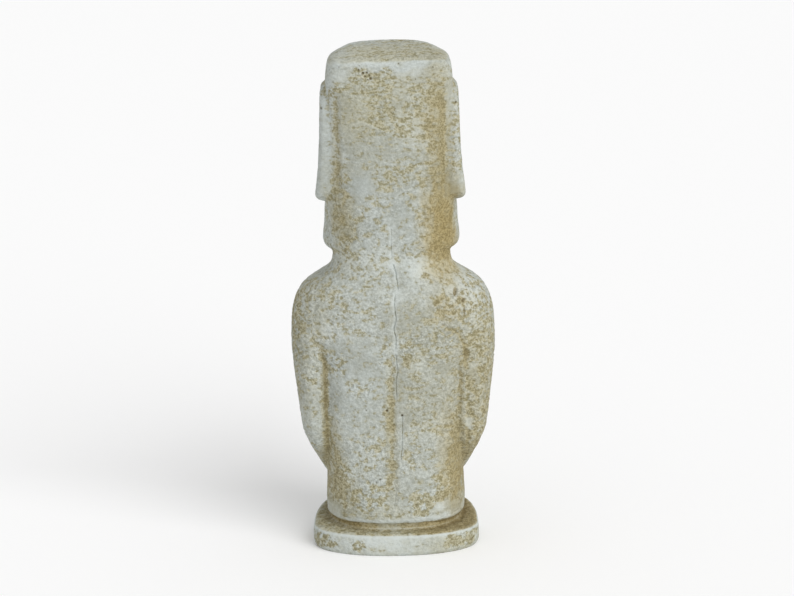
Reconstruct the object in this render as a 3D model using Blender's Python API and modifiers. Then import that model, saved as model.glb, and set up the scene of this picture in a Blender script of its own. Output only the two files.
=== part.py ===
"""Garden moai: a carved-stone-style figure and its low oval plinth, cast in one piece.

Metres, +Z up. The origin is the middle of the plinth's underside and the figure faces -Y.
Sizes below are in millimetres; every form is built in millimetres and scaled once.
"""

import math

import bmesh
import bpy
import numpy as np

MM = 0.001
PIECE = "moai"

# Overall sizes.
HEIGHT = 450.0
PLINTH_HALF_WIDTH = 75.0
PLINTH_BACK = 71.0
PLINTH_FRONT = -71.0
PLINTH_WIDEST_AT = 30.5
PLINTH_THICKNESS = 20.0

# Mesh fineness.
VOXEL = 1.5
RING_POINTS = 120
RING_STEP = 2.0
SMOOTH_PASSES = 4
TRIANGLES = 9700

# Each station of a form: height, half width, back, front, where it is widest,
# how square its back is and how square its front is (2 is an ellipse).
PLINTH_STATIONS = (
    (-6, 68.0, 64.4, -64.4, PLINTH_WIDEST_AT, 2.15, 2.7),
    (0, 72.8, 69.2, -69.2, PLINTH_WIDEST_AT, 2.15, 2.7),
    (2.5, 74.4, 70.6, -70.6, PLINTH_WIDEST_AT, 2.15, 2.7),
    (6, PLINTH_HALF_WIDTH, PLINTH_BACK, PLINTH_FRONT, PLINTH_WIDEST_AT, 2.15, 2.7),
    (15, PLINTH_HALF_WIDTH, PLINTH_BACK, PLINTH_FRONT, PLINTH_WIDEST_AT, 2.15, 2.7),
    (18.4, 74.2, 70.2, -70.2, PLINTH_WIDEST_AT, 2.15, 2.7),
    (PLINTH_THICKNESS, 72.0, 68.0, -68.0, PLINTH_WIDEST_AT, 2.15, 2.7),
)
TORSO_STATIONS = (
    (10, 60.4, 57.4, -52.4, 0, 2.5, 2.7),
    (25.5, 60.4, 57.4, -52.4, 0, 2.5, 2.7),
    (27, 61.6, 58.6, -53.6, 0, 2.5, 2.7),
    (30, 62.6, 59.6, -54.6, 0, 2.6, 2.7),
    (37, 63.0, 60.0, -55.6, 0, 2.6, 2.7),
    (57, 62.2, 58.6, -57.0, 0, 2.8, 2.7),
    (90, 61.6, 55.4, -57.5, 0, 3.2, 2.6),
    (120, 62.2, 52.6, -56.0, 0, 3.6, 2.6),
    (150, 64.0, 51.6, -51.5, 0, 3.6, 2.6),
    (166, 66.5, 51.4, -49.5, 0, 3.3, 2.6),
    (176, 74.0, 51.6, -48.8, 0, 3.0, 2.7),
    (188, 84.0, 52.0, -48.2, 0, 2.7, 2.7),
    (200, 88.6, 52.0, -47.6, 0, 2.7, 2.7),
    (212, 88.6, 52.0, -46.6, 0, 2.7, 2.6),
    (222, 87.0, 51.2, -45.2, 0, 2.6, 2.5),
    (232, 83.2, 49.2, -43.2, 0, 2.5, 2.4),
    (240, 75.8, 46.4, -41.6, 0, 2.4, 2.3),
    (246, 66.6, 43.4, -40.4, 0, 2.4, 2.3),
    (250, 59.8, 41.0, -39.6, 0, 2.4, 2.3),
    (254, 55.2, 38.8, -39.0, 0, 2.4, 2.3),
    (258, 53.6, 37.2, -38.4, 0, 2.4, 2.3),
    (264, 52.6, 36.2, -38.0, 0, 2.4, 2.3),
    (276, 52.6, 35.0, -38.0, 0, 2.4, 2.3),
)
HEAD_STATIONS = (
    (262.5, 50.0, 34.0, -36.0, -6, 2.4, 2.4),
    (266, 52.6, 35.6, -42.0, -12, 2.4, 2.5),
    (268.5, 56.6, 35.9, -49.0, -14, 2.4, 2.6),
    (271, 60.2, 36.0, -53.6, -14, 2.4, 2.7),
    (275.5, 61.4, 36.0, -55.6, -14, 2.4, 2.8),
    (288, 60.2, 36.2, -55.4, -14, 2.5, 2.8),
    (306, 59.2, 36.6, -53.6, -12, 2.6, 2.8),
    (318, 57.6, 37.0, -52.0, -8, 2.8, 2.8),
    (340, 55.6, 37.6, -50.4, -4, 3.1, 2.8),
    (370, 54.8, 38.2, -49.6, 0, 3.3, 2.8),
    (400, 55.2, 38.5, -49.4, 0, 3.6, 2.8),
    (414, 56.0, 38.3, -49.0, 0, 4.6, 2.6),
    (424, 55.8, 38.2, -48.2, 0, 5.4, 2.5),
    (434, 54.8, 38.0, -46.8, 0, 6.0, 2.3),
    (439.5, 53.4, 37.6, -45.4, 0, 6.0, 2.2),
    (442.5, 51.0, 36.0, -43.8, 0, 6.0, 2.1),
    (444.6, 47.8, 31.0, -42.6, 0, 4.6, 2.0),
    (446.8, 42.4, 20.0, -40.4, -6, 3.2, 2.0),
    (448.8, 36.8, 4.0, -36.4, -12, 2.5, 2.0),
    (HEIGHT, 29.0, -8.0, -32.0, -18, 2.2, 2.0),
)

# Each station of a side form: height, inner edge, outer edge, back, front, how square.
ARM_STATIONS = (
    (52, 44.0, 58.0, -12.0, -26.0, 2.2),
    (55.5, 45.0, 63.4, -7.0, -28.0, 2.2),
    (61.5, 46.5, 66.6, 0.0, -30.0, 2.2),
    (70, 49.0, 70.0, 11.0, -31.0, 2.3),
    (78, 50.5, 72.8, 20.0, -31.0, 2.4),
    (86, 51.0, 76.2, 28.0, -30.0, 2.5),
    (94, 51.5, 79.0, 33.5, -28.0, 2.6),
    (105, 51.5, 82.8, 37.4, -25.0, 2.7),
    (117, 51.0, 84.6, 38.8, -23.0, 2.7),
    (140, 50.0, 87.4, 39.0, -25.0, 2.6),
    (162, 47.0, 90.0, 38.6, -29.0, 2.5),
    (185, 44.0, 91.6, 38.0, -32.0, 2.3),
    (207, 44.0, 90.9, 36.5, -33.0, 2.2),
    (222, 46.0, 88.0, 33.0, -31.0, 2.2),
    (232, 50.0, 82.8, 28.0, -27.0, 2.2),
    (238, 56.0, 76.0, 20.0, -20.0, 2.2),
)
EAR_STATIONS = (
    (313, 50.0, 62.0, 10.0, -3.0, 2.6),
    (315, 49.0, 65.2, 14.0, -6.0, 3.0),
    (319, 48.0, 66.8, 19.0, -8.0, 3.4),
    (324, 47.5, 66.2, 21.0, -9.0, 3.6),
    (346, 47.0, 63.8, 22.5, -10.0, 3.8),
    (367, 46.5, 62.4, 23.0, -11.0, 3.8),
    (389, 46.5, 61.6, 23.0, -12.0, 3.8),
    (410, 46.5, 61.0, 22.0, -12.0, 3.6),
    (416, 47.5, 60.0, 16.5, -10.0, 3.2),
    (419, 49.0, 57.6, 12.0, -7.0, 2.8),
    (420.5, 51.0, 55.2, 7.0, -3.0, 2.4),
)

# Tapered limbs: places on the left side as (x, y, z, radius), mirrored to the right.
FOREARM = (
    (61, 4, 98, 16),
    (59, -14, 87, 15.5),
    (55, -30, 77, 14.5),
    (46, -41, 70, 12.5),
    (34, -47.5, 67, 11),
)
HAND_OUT = 2.2
FINGER_RADIUS = 2.8
FINGER_PITCH = 6.0
LOWEST_FINGER = 57.5
FINGER_ROOT_X = 34.0
FINGER_TIPS_X = (8.0, 4.6, 4.4, 7.0)
THUMB = ((37, 75, 4.2), (29, 82, 3.6), (20, 86.5, 2.8))

# Face, set out from the crown down. OUT is how far a feature stands forward.
BROW_HEIGHT = 403.0
BROW_OUT = 9.5
BROW_HALF = 55.0
BROW_DROOP = 3.5
SOCKET_X = 26.0
SOCKET_DROP = 15.0
SOCKET_HALF_WIDTH = 25.0
SOCKET_HALF_HEIGHT = 20.0
SOCKET_DEPTH = 8.5
NOSE_TOP = 402.0
NOSE_TIP = 340.0
NOSE_TOP_OUT = 9.0
NOSE_TIP_OUT = 19.5
NOSE_TOP_HALF = 6.0
NOSE_TIP_HALF = 14.5
NOSTRIL_OUT = 3.4
CHEEK = (35.0, 352.0)
CHEEK_OUT = 2.6
MOUTH_HEIGHT = 313.0
MOUTH_HALF = 28.0
MOUTH_OUT = 3.0
MOUTH_DROOP = 3.5
LIP_OUT = 7.6
LIP_THICKNESS = 7.4
LIP_PARTING = 2.4
CHIN_HEIGHT = 286.0
CHIN_HALF = 46.0
CHIN_OUT = 8.0
UNDER_LIP_DEPTH = 3.0

# Chest and belly.
CHEST_OUT = 4.2
CHEST_HALF = 78.0
CHEST_TOP = 240.0
CHEST_FOLD = 184.0
CHEST_FOLD_RISE = 9.0
CHEST_MIDDLE = 33.0
NAVEL_HEIGHT = 108.0
NAVEL_RADIUS = 4.6
NAVEL_DEPTH = 2.6

# The long hollow of each ear: middle in y and z, half width, half length and depth.
EAR_HOLLOW = (4.0, 372.0, 8.5, 44.0, 3.4)

# Furrows on the back: place across, half width and depth. The first two are mirrored, and
# the spine's lies a little to the left. Each runs between two heights and fades at both ends.
EAR_FURROW = ((46.5, 5.0, 2.6), (318.0, 332.0, 404.0, 416.0))
ARM_FURROW = ((60.8, 2.8, 1.2), (72.0, 90.0, 166.0, 180.0))
SPINE_FURROW = ((2.2, 6.0, 1.3), (40.0, 100.0, 168.0, 196.0))

STONE = (0.42, 0.41, 0.33, 1.0)
STONE_ROUGHNESS = 0.9


def step(low, high, value):
    """0 at low and 1 at high, with an S-curve between them; low may be the larger."""
    t = np.clip((value - low) / (high - low), 0.0, 1.0)
    return t * t * (3.0 - 2.0 * t)


def hill(value, centre, reach):
    """1 at the centre, falling smoothly to 0 at reach on either side."""
    return step(reach, 0.0, np.abs(value - centre))


def through(stations, heights):
    """Monotone cubic curves through the stations, one row of values for each height."""
    table = np.array(stations, float)
    knots, values = table[:, 0], table[:, 1:]
    span = np.diff(knots)[:, None]
    rise = np.diff(values, axis=0) / span
    slope = np.zeros_like(values)
    slope[0], slope[-1] = rise[0], rise[-1]
    before, after = 2 * span[1:] + span[:-1], span[1:] + 2 * span[:-1]
    steady = rise[:-1] * rise[1:] > 0
    safe = np.where(steady, rise[:-1], 1.0), np.where(steady, rise[1:], 1.0)
    slope[1:-1] = np.where(steady, (before + after) / (before / safe[0] + after / safe[1]), 0.0)
    i = np.clip(np.searchsorted(knots, heights, side="right") - 1, 0, len(span) - 1)
    t = ((heights - knots[i]) / span[i, 0])[:, None]
    return (
        (2 * t**3 - 3 * t**2 + 1) * values[i]
        + (t**3 - 2 * t**2 + t) * span[i] * slope[i]
        + (3 * t**2 - 2 * t**3) * values[i + 1]
        + (t**3 - t**2) * span[i] * slope[i + 1]
    )


def oval(half_width, back, front, widest_at, back_square, front_square):
    """A closed ring in plan whose back and front halves are superellipses of their own."""
    angle = np.linspace(0.0, 2.0 * math.pi, RING_POINTS, endpoint=False)
    across, along = np.cos(angle), np.sin(angle)
    square = np.where(along > 0, back_square, front_square)
    reach = np.where(along > 0, back - widest_at, widest_at - front)
    x = half_width * np.sign(across) * np.abs(across) ** (2.0 / square)
    y = widest_at + reach * np.sign(along) * np.abs(along) ** (2.0 / square)
    return x, y


def heights_of(stations):
    """Even steps up the form, with every station among them."""
    low, high = stations[0][0], stations[-1][0]
    even = np.linspace(low, high, int((high - low) / RING_STEP) + 2)
    return np.unique(np.concatenate([even, [s[0] for s in stations]]))


def skin(bm, rings):
    """Faces between each ring and the next, and a cap on both ends."""
    rows = [[bm.verts.new(point * MM) for point in ring] for ring in rings]
    for lower, upper in zip(rows, rows[1:]):
        for i, j in zip(range(len(lower)), [*range(1, len(lower)), 0]):
            bm.faces.new((lower[i], lower[j], upper[j], upper[i]))
    bm.faces.new(rows[0][::-1])
    bm.faces.new(rows[-1])


def central_form(bm, stations, relief=None):
    """A form on the middle plane; relief(x, z) carves its front."""
    heights = heights_of(stations)
    rings = []
    for z, values in zip(heights, through(stations, heights)):
        x, y = oval(*values)
        level = np.full_like(x, z)
        if relief:
            frontal = step(0.0, 14.0, values[3] - y)
            y = y - relief(x, level) * frontal
        rings.append(np.stack([x, y, level], axis=1))
    skin(bm, rings)


def side_form(bm, stations, side):
    """A form beside the middle plane, between an inner and an outer edge."""
    heights = heights_of(stations)
    rings = []
    for z, (inner, outer, back, front, square) in zip(heights, through(stations, heights)):
        x, y = oval((outer - inner) / 2, back, front, (back + front) / 2, square, square)
        ring = np.stack([x + (inner + outer) / 2, y, np.full_like(x, z)], axis=1)
        rings.append(ring * (side, 1, 1) if side > 0 else (ring * (side, 1, 1))[::-1])
    skin(bm, rings)


def limb(bm, places, side):
    """A tapered round limb through the places, made as a bevelled curve with closed ends."""
    curve = bpy.data.curves.new("limb", "CURVE")
    curve.dimensions = "3D"
    curve.bevel_depth = MM
    curve.bevel_resolution = 4
    curve.resolution_u = 8
    curve.use_fill_caps = True
    spline = curve.splines.new("NURBS")
    spline.points.add(len(places) - 1)
    spline.order_u = 3
    spline.use_endpoint_u = True
    for point, (x, y, z, radius) in zip(spline.points, places):
        point.co = (side * x * MM, y * MM, z * MM, 1.0)
        point.radius = radius
    guide = bpy.data.objects.new("limb", curve)
    bpy.context.scene.collection.objects.link(guide)
    graph = bpy.context.evaluated_depsgraph_get()
    tube = bpy.data.meshes.new_from_object(guide.evaluated_get(graph))
    bm.from_mesh(tube)
    for x, y, z, radius in (places[0], places[-1]):
        centre = np.array((side * x, y, z)) * MM
        ball = bmesh.ops.create_uvsphere(bm, u_segments=16, v_segments=10, radius=radius * MM)
        bmesh.ops.translate(bm, verts=ball["verts"], vec=centre)
    bpy.data.objects.remove(guide)
    bpy.data.curves.remove(curve)
    bpy.data.meshes.remove(tube)


def brow_relief(side, over_brow):
    """A heavy ledge: a slow slope above, a sharp edge below."""
    return BROW_OUT * step(24, 3, over_brow) * step(-5, 1, over_brow) * step(BROW_HALF, BROW_HALF - 15, side)


def socket_relief(side, over_brow):
    """An oval eye hollow tucked up under the brow, with no eyeball."""
    away = np.hypot((side - SOCKET_X) / SOCKET_HALF_WIDTH, (over_brow + SOCKET_DROP) / SOCKET_HALF_HEIGHT)
    return -SOCKET_DEPTH * step(1.1, 0.3, away) * step(3, 10, side) * step(0, -5, over_brow)


def nose_relief(side, z):
    """A long nose with a hollow ridge line, square below, and round nostrils."""
    down = np.clip((NOSE_TOP - z) / (NOSE_TOP - NOSE_TIP), 0.0, 1.2)
    half = NOSE_TOP_HALF + (NOSE_TIP_HALF - NOSE_TOP_HALF) * down**2.2
    out = NOSE_TOP_OUT + (NOSE_TIP_OUT - NOSE_TOP_OUT) * down**1.3
    nose = out * step(half + 4.5, half - 3.5, side)
    nose = nose * step(NOSE_TIP - 6, NOSE_TIP - 1, z) * step(NOSE_TOP + 8, NOSE_TOP - 4, z)
    nostril = hill(side, NOSE_TIP_HALF, 7.5) * hill(z, NOSE_TIP + 6, 11.0)
    crease = hill(side, NOSE_TIP_HALF - 1, 5.0) * hill(z, NOSE_TIP + 19, 9.0)
    return nose + NOSTRIL_OUT * (nostril - 0.5 * crease)


def mouth_relief(side, z):
    """Two thin lips, closed, on a low swelling, turned down a little at the corners."""
    line = MOUTH_HEIGHT - MOUTH_DROOP * (side / MOUTH_HALF) ** 2
    upper = hill(z, line + 0.62 * LIP_THICKNESS, LIP_THICKNESS)
    lower = hill(z, line - 0.66 * LIP_THICKNESS, LIP_THICKNESS * 1.08)
    lips = LIP_OUT * np.maximum(upper, 0.92 * lower) * step(MOUTH_HALF + 3, MOUTH_HALF - 16, side)
    parting = LIP_PARTING * hill(z, line, 2.4) * step(MOUTH_HALF + 2, MOUTH_HALF - 6, side)
    return lips - parting + MOUTH_OUT * step(MOUTH_HALF + 16, 14, side) * hill(z, MOUTH_HEIGHT, 26.0)


def chin_relief(side, z):
    """A square chin, with a dip between it and the lower lip."""
    chin = CHIN_OUT * step(CHIN_HALF, 14, side) * hill(z, CHIN_HEIGHT, 20.0)
    return chin - UNDER_LIP_DEPTH * step(36, 12, side) * hill(z, MOUTH_HEIGHT - 15.5, 7.0)


def face_relief(x, z):
    """How far the face stands out from the plain front of the head."""
    side = np.abs(x)
    over_brow = z - BROW_HEIGHT + BROW_DROOP * (side / 50.0) ** 2
    nose = nose_relief(side, z)
    socket = socket_relief(side, over_brow) * (nose < 4)
    cheek = CHEEK_OUT * hill(side, CHEEK[0], 19.0) * hill(z, CHEEK[1], 26.0)
    upper_face = np.maximum(brow_relief(side, over_brow), nose) + socket + cheek
    return upper_face + mouth_relief(side, z) + chin_relief(side, z)


def chest_relief(x, z):
    """Two flat breast muscles, each with a curved lower fold, and the navel."""
    side = np.abs(x)
    fold = CHEST_FOLD + CHEST_FOLD_RISE * ((side - CHEST_MIDDLE) / CHEST_MIDDLE) ** 2
    breast = CHEST_OUT * step(0, 10, side) * step(CHEST_HALF, CHEST_HALF - 26, side)
    breast = breast * step(fold - 4, fold + 4, z) * step(CHEST_TOP, CHEST_TOP - 36, z)
    return breast - NAVEL_DEPTH * hill(np.hypot(x, z - NAVEL_HEIGHT), 0.0, NAVEL_RADIUS)


def belly(x, z):
    """The front of the torso at this place."""
    half, _, front, widest_at, _, square = through(TORSO_STATIONS, np.array([z]))[0]
    return widest_at - (widest_at - front) * (1.0 - (abs(x) / half) ** square) ** (1.0 / square)


def fingers(bm, side):
    """Four long fingers laid on the belly, the middle two reaching furthest in, and the thumb."""
    for row, tip_x in enumerate(FINGER_TIPS_X):
        z = LOWEST_FINGER + row * FINGER_PITCH
        reach = [FINGER_ROOT_X + (tip_x - FINGER_ROOT_X) * share for share in (0, 0.3, 0.6, 0.85, 1)]
        limb(bm, [(x, belly(x, z) - HAND_OUT, z, FINGER_RADIUS) for x in reach], side)
    limb(bm, [(x, belly(x, z) - HAND_OUT, z, radius) for x, z, radius in THUMB], side)


def raw_forms():
    """Every form of the figure, overlapping, in one mesh."""
    bm = bmesh.new()
    for side in (1, -1):
        limb(bm, FOREARM, side)
        fingers(bm, side)
        side_form(bm, ARM_STATIONS, side)
        side_form(bm, EAR_STATIONS, side)
    central_form(bm, PLINTH_STATIONS)
    central_form(bm, TORSO_STATIONS, chest_relief)
    central_form(bm, HEAD_STATIONS, face_relief)
    mesh = bpy.data.meshes.new("forms")
    bm.to_mesh(mesh)
    bm.free()
    return mesh


def applied(mesh, modifiers):
    """The mesh with these (type, settings) modifiers applied to it."""
    carrier = bpy.data.objects.new("carrier", mesh)
    bpy.context.scene.collection.objects.link(carrier)
    for kind, settings in modifiers:
        modifier = carrier.modifiers.new(kind.lower(), kind)
        for name, value in settings.items():
            setattr(modifier, name, value)
    graph = bpy.context.evaluated_depsgraph_get()
    result = bpy.data.meshes.new_from_object(carrier.evaluated_get(graph))
    bpy.data.objects.remove(carrier)
    return result


def carve(mesh):
    """Press the hollows of the ears and the furrows of the back into the surface."""
    points = np.empty(len(mesh.vertices) * 3)
    mesh.vertices.foreach_get("co", points)
    points = points.reshape(-1, 3) / MM
    x, y, z = points.T.copy()
    side = np.abs(x)
    middle_y, middle_z, half_width, half_length, depth = EAR_HOLLOW
    along = np.clip(z, middle_z - half_length + half_width, middle_z + half_length - half_width)
    hollow = step(half_width, half_width - 4.5, np.hypot(y - middle_y, z - along))
    points[:, 0] -= np.sign(x) * depth * hollow * step(56, 59, side)
    for across, furrow in ((side, EAR_FURROW), (side, ARM_FURROW), (x, SPINE_FURROW)):
        (line, half, depth), (foot, full_from, full_to, top) = furrow
        fade = step(foot, full_from, z) * step(top, full_to, z) * step(2.0, 12.0, y)
        points[:, 1] -= depth * hill(across, line, half) * fade
    mesh.vertices.foreach_set("co", (points * MM).reshape(-1))


def cut_flat(mesh):
    """Cut the underside off level at z = 0 and close it."""
    bm = bmesh.new()
    bm.from_mesh(mesh)
    everything = bm.verts[:] + bm.edges[:] + bm.faces[:]
    bmesh.ops.bisect_plane(bm, geom=everything, plane_co=(0, 0, 0), plane_no=(0, 0, 1), clear_inner=True)
    bmesh.ops.contextual_create(bm, geom=[edge for edge in bm.edges if edge.is_boundary])
    bmesh.ops.triangulate(bm, faces=bm.faces[:])
    bm.to_mesh(mesh)
    bm.free()


def level_foot(mesh):
    """Bring points left a hair off the underside back onto it."""
    for vertex in mesh.vertices:
        if abs(vertex.co.z) < 0.5 * MM:
            vertex.co.z = 0.0


def stone():
    material = bpy.data.materials.new("cast_stone")
    material.use_nodes = True
    shader = material.node_tree.nodes["Principled BSDF"]
    shader.inputs["Base Color"].default_value = STONE
    shader.inputs["Roughness"].default_value = STONE_ROUGHNESS
    shader.inputs["Metallic"].default_value = 0.0
    return material


def main():
    for thing in list(bpy.data.objects):
        bpy.data.objects.remove(thing)
    collection = bpy.data.collections.new(PIECE)
    bpy.context.scene.collection.children.link(collection)

    cast = applied(
        raw_forms(),
        (
            ("REMESH", {"mode": "VOXEL", "voxel_size": VOXEL * MM}),
            ("SMOOTH", {"factor": 0.5, "iterations": SMOOTH_PASSES}),
        ),
    )
    carve(cast)
    cut_flat(cast)
    ratio = TRIANGLES / len(cast.polygons)
    cast = applied(cast, (("DECIMATE", {"ratio": ratio}),))
    level_foot(cast)
    cast.name = PIECE
    cast.materials.clear()
    cast.materials.append(stone())
    cast.shade_smooth()
    collection.objects.link(bpy.data.objects.new(PIECE, cast))


main()
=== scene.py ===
"""Garden moai in cast stone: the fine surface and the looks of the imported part.

The solid's forms are built again here at a finer spacing, with the small relief that the
solid leaves out, and the piece made from them stands for the node. Millimetres throughout,
laid on the frame by its box; the figure faces -Y, so its back is towards +Y, and +X is its
left hand.
"""

import math

import bmesh
import bpy
import numpy as np
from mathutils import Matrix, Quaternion, Vector, noise


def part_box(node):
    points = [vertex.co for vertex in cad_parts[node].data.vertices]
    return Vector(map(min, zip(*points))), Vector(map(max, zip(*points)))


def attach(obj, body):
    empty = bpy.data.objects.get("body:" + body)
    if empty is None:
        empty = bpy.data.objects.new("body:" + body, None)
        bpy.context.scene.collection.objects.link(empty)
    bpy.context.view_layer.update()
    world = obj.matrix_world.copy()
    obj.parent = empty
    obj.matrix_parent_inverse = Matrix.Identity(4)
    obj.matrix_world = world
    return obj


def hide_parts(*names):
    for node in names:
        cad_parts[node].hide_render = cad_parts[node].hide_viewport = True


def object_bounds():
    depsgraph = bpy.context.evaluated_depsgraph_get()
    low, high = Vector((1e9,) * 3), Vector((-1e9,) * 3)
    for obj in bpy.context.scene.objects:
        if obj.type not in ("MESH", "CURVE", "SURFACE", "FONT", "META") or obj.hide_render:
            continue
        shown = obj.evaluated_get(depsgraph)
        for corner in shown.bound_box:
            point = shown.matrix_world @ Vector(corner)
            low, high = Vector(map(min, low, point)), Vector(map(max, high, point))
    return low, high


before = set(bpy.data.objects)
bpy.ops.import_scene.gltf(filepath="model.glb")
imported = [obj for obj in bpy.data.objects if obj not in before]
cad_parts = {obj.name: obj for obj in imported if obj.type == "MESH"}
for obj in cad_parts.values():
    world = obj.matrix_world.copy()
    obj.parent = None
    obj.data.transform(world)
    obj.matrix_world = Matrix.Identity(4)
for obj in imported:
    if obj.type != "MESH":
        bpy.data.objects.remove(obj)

PIECE = "moai"

# The design's own height, and the frame that it is laid on.
HEIGHT = 450
CAD_LOW, CAD_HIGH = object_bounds()
NODE_LOW, NODE_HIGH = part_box(PIECE)
MM = (NODE_HIGH.z - NODE_LOW.z) / HEIGHT
FOOT = Vector(((NODE_LOW.x + NODE_HIGH.x) / 2, (NODE_LOW.y + NODE_HIGH.y) / 2, NODE_LOW.z))

# Mesh fineness.
VOXEL = 1.25
RING_POINTS = 240
RING_STEP = 1
SMOOTH_PASSES = 5
REFINE_PASSES = 2
TRIANGLES = 194000

# Each station of a form: height, half width, back, front, where it is widest, how square its
# back is and how square its front is (2 is an ellipse).
PLINTH_HALF_WIDTH = 75
PLINTH_BACK = 71
PLINTH_WIDEST_AT = 30.5
PLINTH_TOP = 20
# The plinth's rounded edges: height, and how far in from its widest across and along.
PLINTH_INSETS = (
    (-6, 7, 6.6),
    (0, 2.2, 1.8),
    (2.5, 0.6, 0.4),
    (6, 0, 0),
    (15, 0, 0),
    (18.4, 0.8, 0.8),
    (PLINTH_TOP, 3, 3),
)
PLINTH_STATIONS = tuple(
    (z, PLINTH_HALF_WIDTH - across, PLINTH_BACK - along, along - PLINTH_BACK, PLINTH_WIDEST_AT, 2.15, 2.7)
    for z, across, along in PLINTH_INSETS
)
TORSO_STATIONS = (
    (10, 60.4, 57.4, -52.4, 0, 2.5, 2.7),
    (25.5, 60.4, 57.4, -52.4, 0, 2.5, 2.7),
    (27, 61.6, 58.6, -53.6, 0, 2.5, 2.7),
    (30, 62.6, 59.6, -54.6, 0, 2.6, 2.7),
    (37, 63, 60, -55.6, 0, 2.6, 2.7),
    (57, 62.2, 58.6, -57, 0, 2.8, 2.7),
    (90, 61.6, 55.4, -57.5, 0, 3.2, 2.6),
    (120, 62.2, 52.6, -56, 0, 3.6, 2.6),
    (150, 64, 51.6, -51.5, 0, 3.6, 2.6),
    (166, 66.5, 51.4, -49.5, 0, 3.3, 2.6),
    (176, 74, 51.6, -48.8, 0, 3, 2.7),
    (188, 84, 52, -48.2, 0, 2.7, 2.7),
    (200, 88.6, 52, -47.6, 0, 2.7, 2.7),
    (212, 88.6, 52, -46.6, 0, 2.7, 2.6),
    (222, 87, 51.2, -45.2, 0, 2.6, 2.5),
    (232, 83.2, 49.2, -43.2, 0, 2.5, 2.4),
    (240, 75.8, 46.4, -41.6, 0, 2.4, 2.3),
    (246, 66.6, 43.4, -40.4, 0, 2.4, 2.3),
    (250, 59.8, 41, -39.6, 0, 2.4, 2.3),
    (254, 55.2, 38.8, -39, 0, 2.4, 2.3),
    (258, 53.6, 37.2, -38.4, 0, 2.4, 2.3),
    (264, 52.6, 36.2, -38, 0, 2.4, 2.3),
    (276, 52.6, 35, -38, 0, 2.4, 2.3),
)
HEAD_STATIONS = (
    (262.5, 50, 34, -36, -6, 2.4, 2.4),
    (266, 52.6, 35.6, -42, -12, 2.4, 2.5),
    (268.5, 56.6, 35.9, -49, -14, 2.4, 2.6),
    (271, 60.2, 36, -53.6, -14, 2.4, 2.7),
    (275.5, 61.4, 36, -55.6, -14, 2.4, 2.8),
    (288, 60.2, 36.2, -55.4, -14, 2.5, 2.8),
    (306, 59.2, 36.6, -53.6, -12, 2.6, 2.8),
    (318, 57.6, 37, -52, -8, 2.8, 2.8),
    (340, 55.6, 37.6, -50.4, -4, 3.1, 2.8),
    (370, 54.8, 38.2, -49.6, 0, 3.3, 2.8),
    (400, 55.2, 38.5, -49.4, 0, 3.6, 2.8),
    (414, 56, 38.3, -49, 0, 4.6, 2.6),
    (424, 55.8, 38.2, -48.2, 0, 5.4, 2.5),
    (434, 54.8, 38, -46.8, 0, 6, 2.3),
    (439.5, 53.4, 37.6, -45.4, 0, 6, 2.2),
    (442.5, 51, 36, -43.8, 0, 6, 2.1),
    (444.6, 47.8, 31, -42.6, 0, 4.6, 2),
    (446.8, 42.4, 20, -40.4, -6, 3.2, 2),
    (448.8, 36.8, 4, -36.4, -12, 2.5, 2),
    (HEIGHT, 29, -8, -32, -18, 2.2, 2),
)

# Each station of a side form: height, inner edge, outer edge, back, front, how square.
ARM_STATIONS = (
    (52, 44, 58, -12, -26, 2.2),
    (55.5, 45, 63.4, -7, -28, 2.2),
    (61.5, 46.5, 66.6, 0, -30, 2.2),
    (70, 49, 70, 11, -31, 2.3),
    (78, 50.5, 72.8, 20, -31, 2.4),
    (86, 51, 76.2, 28, -30, 2.5),
    (94, 51.5, 79, 33.5, -28, 2.6),
    (105, 51.5, 82.8, 37.4, -25, 2.7),
    (117, 51, 84.6, 38.8, -23, 2.7),
    (140, 50, 87.4, 39, -25, 2.6),
    (162, 47, 90, 38.6, -29, 2.5),
    (185, 44, 91.6, 38, -32, 2.3),
    (207, 44, 90.9, 36.5, -33, 2.2),
    (222, 46, 88, 33, -31, 2.2),
    (232, 50, 82.8, 28, -27, 2.2),
    (238, 56, 76, 20, -20, 2.2),
)
EAR_STATIONS = (
    (313, 50, 62, 10, -3, 2.6),
    (315, 49, 65.2, 14, -6, 3),
    (319, 48, 66.8, 19, -8, 3.4),
    (324, 47.5, 66.2, 21, -9, 3.6),
    (346, 47, 63.8, 22.5, -10, 3.8),
    (367, 46.5, 62.4, 23, -11, 3.8),
    (389, 46.5, 61.6, 23, -12, 3.8),
    (410, 46.5, 61, 22, -12, 3.6),
    (416, 47.5, 60, 16.5, -10, 3.2),
    (419, 49, 57.6, 12, -7, 2.8),
    (420.5, 51, 55.2, 7, -3, 2.4),
)

# Tapered limbs: places on the left side as (x, y, z, radius), mirrored to the right.
FOREARM = (
    (61, 4, 98, 16),
    (59, -14, 87, 15.5),
    (55, -30, 77, 14.5),
    (46, -41, 70, 12.5),
    (34, -47.5, 67, 11),
)
HAND_OUT = 2.2
FINGER_RADIUS = 2.8
FINGER_PITCH = 6
LOWEST_FINGER = 57.5
FINGER_ROOT_X = 34
FINGER_TIPS_X = (8, 4.6, 4.4, 7)
THUMB = ((37, 75, 4.2), (29, 82, 3.6), (20, 86.5, 2.8))

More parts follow.
